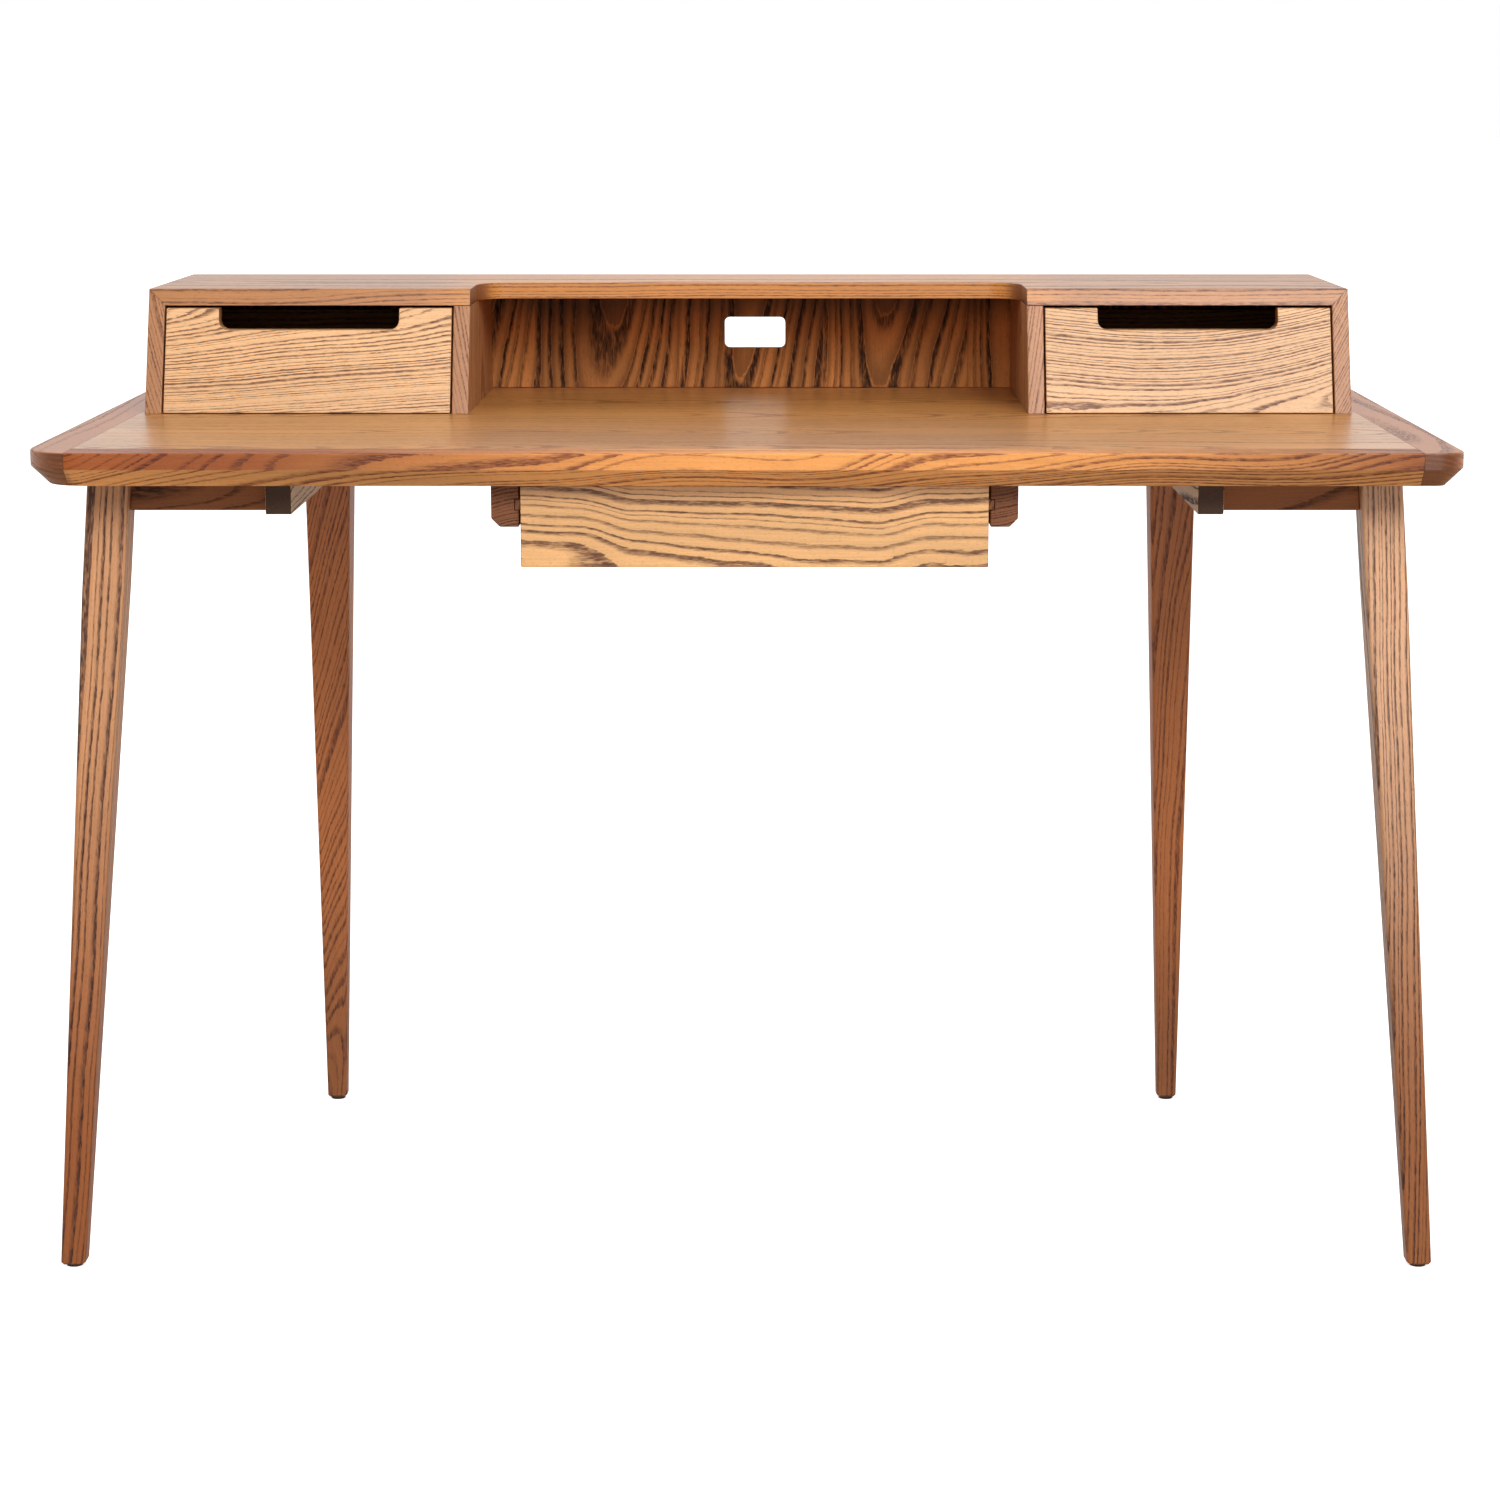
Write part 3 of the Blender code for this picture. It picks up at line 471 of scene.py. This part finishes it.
def make_board(node, finish, grain, face, origin=None, **figure):
    """Gives a node its wood. Lengths in the figure are in millimetres, and leans in metres to the metre."""
    for key, value in figure.items():
        if key not in ("lean_across", "lean_below", "sag", "outwards", "seed"):
            figure[key] = value * MILLIMETRE
    named = {key.replace("_", " ").capitalize(): value for key, value in figure.items()}
    piece = smooth_copy(node, BODY_OF[node])
    piece.data.materials.clear()
    board = Board(origin or middle(node), grain, face, **named)
    piece.data.materials.append(wood(f"{node}_ash", finish, board))
    return piece


def make_top():
    make_board(
        "top_panel", TOP, X, Z, ring=4.2, leaf=145, heart_below=-50, heart_across=10, lean_below=0.05,
        sway_across=30, sway_below=40, waver=5, seed=1.3,
    )
    make_board(
        "top_front_lipping", EDGE, X, -Y, ring=4.4, heart_below=-110, heart_across=-64, lean_below=-0.10,
        sway_across=30, sway_below=130, waver=1.2, seed=2.9,
    )
    make_board(
        "top_rear_lipping", EDGE, X, Y, ring=4.0, heart_below=-130, heart_across=30, sway_across=30,
        sway_below=120, waver=1.2, seed=6.4,
    )
    for place, face in (("left", -X), ("right", X)):
        make_board(
            f"top_{place}_lipping", SIDE_EDGE, Y, face, ring=4.5, heart_below=-16, heart_across=-60, sway_across=16,
            sway_below=20, waver=2, seed=3.3 if place == "left" else 4.7,
        )


def make_hutch():
    make_board(
        "hutch_top", SHELF, X, Z, ring=3.4, heart_below=-190, heart_across=-30, lean_across=0.02,
        sway_across=30, sway_below=14, waver=1.5, seed=5.2,
    )
    for place, face in (("left", -X), ("right", X)):
        right = place == "right"
        make_board(
            f"hutch_{place}_side", HUTCH, Z, face, ring=3.0, heart_below=-220, heart_across=30,
            lean_below=-0.42 if right else -0.03, sway_across=20, sway_below=10, waver=1.2,
            seed=8.8 if right else 7.9,
        )
        make_board(
            f"hutch_{place}_divider", HUTCH, Z, face, ring=3.6, heart_below=-200, heart_across=20,
            lean_below=0.03, sway_across=20, sway_below=10, waver=1.2, seed=10.6 if right else 9.4,
        )
    make_board(
        "hutch_back_panel", BACK, Z, -Y, ring=11.0, leaf=150, heart_below=-14, lean_below=-0.12,
        lean_across=0.10, sway_across=90, sway_below=30, waver=7, seed=11.5,
    )


def make_drawer_fronts():
    make_board(
        "left_drawer_front", NATURAL, X, RAKED_FACE, front_middle("left_drawer_front"), ring=2.6,
        heart_across=66, heart_below=-56, lean_across=-0.02, lean_below=0.08, sway_across=30,
        sway_below=20, waver=3.5, seed=12.2,
    )
    make_board(
        "right_drawer_front", NATURAL, X, RAKED_FACE, front_middle("right_drawer_front"), ring=3.2,
        heart_across=-54, heart_below=-44, lean_across=-0.05, lean_below=-0.05, sway_across=30,
        sway_below=20, waver=5, sag=0.8, seed=14.6,
    )
    make_board(
        "centre_drawer_front", PALE, X, -Y, front_middle("centre_drawer_front"), ring=5.2,
        heart_across=-46, heart_below=-46, lean_below=0.02, sway_across=24, sway_below=30, waver=5,
        bowl=9, shoulder=155, outwards=1.0, seed=16.1,
    )


def make_drawer_boxes():
    seed = 20.0
    plain = {
        "ring": 4.2, "heart_below": -60, "heart_across": 30, "sway_across": 20, "sway_below": 20, "waver": 4
    }
    for drawer in ("left_drawer", "right_drawer", "centre_drawer"):
        for part, grain, face in (
            ("left_side", Y, -X), ("right_side", Y, X), ("back", X, Y), ("bottom", X, Z), ("stop", X, Z)
        ):
            seed += 1.3
            make_board(f"{drawer}_{part}", INSIDE, grain, face, **plain, seed=seed)
    for side, face in (("left", -X), ("right", X)):
        seed += 1.3
        make_board(f"centre_drawer_{side}_runner", UNDER_WITH_PAINTED_SHADE, Y, face, **plain, seed=seed)


def make_frame():
    seed = 40.0
    for side, face in (("left", -X), ("right", X)):
        for node, finish, grain, out, ring, across in (
            (f"cleat_{side}", UNDER_WITH_PAINTED_SHADE, Y, face, 3.0, 60),
            (f"beam_{side}", BEAM_WITH_PAINTED_SHEEN_AND_SHADE, Y, -face, 4.0, 14),
            (f"front_rail_{side}", UNDER_WITH_PAINTED_SHADE, X, -Y, 6.5, 10),
        ):
            seed += 1.7
            make_board(
                node, finish, grain, out, ring=ring, heart_across=across, heart_below=-32,
                lean_across=0.02, lean_below=0.08, sway_across=30, sway_below=36, waver=3, seed=seed,
            )


def leg_axis(node):
    """The line down the middle of a leg, from its foot up, as (middle, direction)."""
    points = [vertex.co for vertex in nodes[node].data.vertices]
    low = min(point.z for point in points)
    high = max(point.z for point in points)
    ends = []
    for level in (low, high):
        ring = [point for point in points if abs(point.z - level) < MILLIMETRE]
        ends.append(sum(ring, Vector()) / len(ring))
    return (ends[0] + ends[1]) / 2, (ends[1] - ends[0]).normalized()


def make_legs():
    seed = 60.0
    for node, finish, ring, across, below, lean_across, lean_below in (
        ("leg_front_left", LEG, 4.8, -60, -40, 0.01, 0.0),
        ("leg_front_right", PALE_LEG_WITH_PAINTED_SHEEN, 3.3, -70, -30, 0.03, 0.0),
        ("leg_rear_left", RED_LEG, 3.0, -45, -40, 0.16, 0.10),
        ("leg_rear_right", RED_LEG, 3.6, -55, -50, -0.04, 0.06),
    ):
        seed += 1.9
        centre, grain = leg_axis(node)
        face = (-Y - grain * grain.dot(-Y)).normalized()
        make_board(
            node, finish, grain, face, centre, ring=ring, heart_across=across, heart_below=below,
            lean_across=lean_across, lean_below=lean_below, sway_across=14, sway_below=16, waver=2.2, seed=seed,
        )


def make_fittings():
    steel = bpy.data.materials.new("zinc_plate")
    nylon = bpy.data.materials.new("dark_nylon")
    for material, colour, metallic, roughness, grain in (
        (steel, srgb(176, 176, 170), 1.0, 0.34, 900.0),
        (nylon, srgb(46, 38, 33), 0.0, 0.55, 1400.0),
    ):
        material.use_nodes = True
        tree = material.node_tree
        graph = Graph(tree)
        shader = tree.nodes["Principled BSDF"]
        place = tree.nodes.new("ShaderNodeTexCoord").outputs["Object"]
        speck = graph.noise(place, (grain, grain, grain), 3.0, 0.6)
        shader.inputs["Metallic"].default_value = metallic
        shade = graph.ramp(speck, 0.3, 0.7, 0.82, 1.1)
        graph.feed(shader.inputs["Base Color"], graph.vector("SCALE", colour[:3], scale=shade))
        graph.feed(shader.inputs["Roughness"], graph.ramp(speck, 0.3, 0.7, roughness, roughness + 0.16))
    for name, node in nodes.items():
        if name.startswith("screw_") or name.endswith("_glide"):
            node.data.materials.clear()
            node.data.materials.append(steel if name.startswith("screw_") else nylon)


make_top()
make_hutch()
make_drawer_fronts()
make_drawer_boxes()
make_frame()
make_legs()
make_fittings()


# ---- Stage, light and camera -------------------------------------------------------------------------

FLOOR_RADIUS = 150.0
CAMERA_PLACE = (0.0374, -3.2475, 1.0675)
CAMERA_PITCH = 11.185  # degrees below level
CAMERA_LENS = 81.6
CAMERA_SHIFT = -0.0247
WHITE = (1.0, 1.0, 1.0, 1.0)
BACK_OF_ROOM = (1.0, 1.0, 1.0, 1.0)
FRONT_OF_ROOM = (0.42, 0.42, 0.42, 1.0)
BELOW_DESK = (0.30, 0.28, 0.26, 1.0)


def make_floor():
    mesh = bpy.data.meshes.new("floor")
    work = bmesh.new()
    bmesh.ops.create_circle(work, cap_ends=True, segments=96, radius=FLOOR_RADIUS)
    work.to_mesh(mesh)
    work.free()
    floor = bpy.data.objects.new("floor", mesh)
    scene.collection.objects.link(floor)
    paint = bpy.data.materials.new("pale_floor")
    paint.use_nodes = True
    graph = Graph(paint.node_tree)
    shader = paint.node_tree.nodes["Principled BSDF"]
    place = paint.node_tree.nodes.new("ShaderNodeTexCoord").outputs["Object"]
    patch = graph.noise(place, (1.5, 1.5, 1.5), 2.0)
    graph.feed(shader.inputs["Base Color"], graph.vector(
        "SCALE", (0.93, 0.93, 0.93), scale=graph.ramp(patch, 0.2, 0.8, 0.985, 1.0)))
    shader.inputs["Roughness"].default_value = 0.9
    shader.inputs["Specular IOR Level"].default_value = 0.1
    shader.inputs["Emission Color"].default_value = (1.0, 1.0, 1.0, 1.0)
    shader.inputs["Emission Strength"].default_value = 0.75
    mesh.materials.append(paint)
    floor.visible_diffuse = False
    floor.visible_glossy = False


def make_lamp(name, place, target, size, power, spread):
    light = bpy.data.lights.new(name, "AREA")
    light.shape = "RECTANGLE"
    light.size, light.size_y = size
    light.energy = power
    light.spread = math.radians(spread)
    lamp = bpy.data.objects.new(name, light)
    scene.collection.objects.link(lamp)
    lamp.location = place
    lamp.rotation_euler = (Vector(target) - Vector(place)).to_track_quat("-Z", "Y").to_euler()


def make_light():
    """A white room: bright behind the desk, dimmer in front and below, where the lamps do the work."""
    world = bpy.data.worlds.new("studio")
    world.use_nodes = True
    graph = Graph(world.node_tree)
    _, depth, height = graph.split(world.node_tree.nodes.new("ShaderNodeTexCoord").outputs["Generated"])
    room = graph.mix(graph.ramp(depth, -0.5, 0.4), FRONT_OF_ROOM, BACK_OF_ROOM)
    room = graph.mix(graph.ramp(height, -0.6, 0.0), BELOW_DESK, room)
    seen = world.node_tree.nodes.new("ShaderNodeLightPath").outputs["Is Camera Ray"]
    backdrop = world.node_tree.nodes["Background"]
    graph.feed(backdrop.inputs["Color"], graph.mix(seen, room, WHITE))
    backdrop.inputs["Strength"].default_value = 1.0
    scene.world = world
    make_lamp("key", (0.7, -2.4, 2.35), (0.05, -0.1, 0.82), (2.6, 1.5), 11.0, 55)
    make_lamp("low fill", (0.3, -2.6, 0.35), (0.0, 0.0, 0.42), (2.4, 0.5), 1.7, 60)
    scene.view_settings.view_transform = "Standard"
    scene.view_settings.look = "None"


def make_camera():
    data = bpy.data.cameras.new("camera")
    data.lens = CAMERA_LENS
    data.shift_x = CAMERA_SHIFT
    data.clip_end = 60
    camera = bpy.data.objects.new("camera", data)
    scene.collection.objects.link(camera)
    camera.location = CAMERA_PLACE
    camera.rotation_euler = (math.radians(90 - CAMERA_PITCH), 0.0, 0.0)
    scene.camera = camera


make_floor()
make_light()
make_camera()
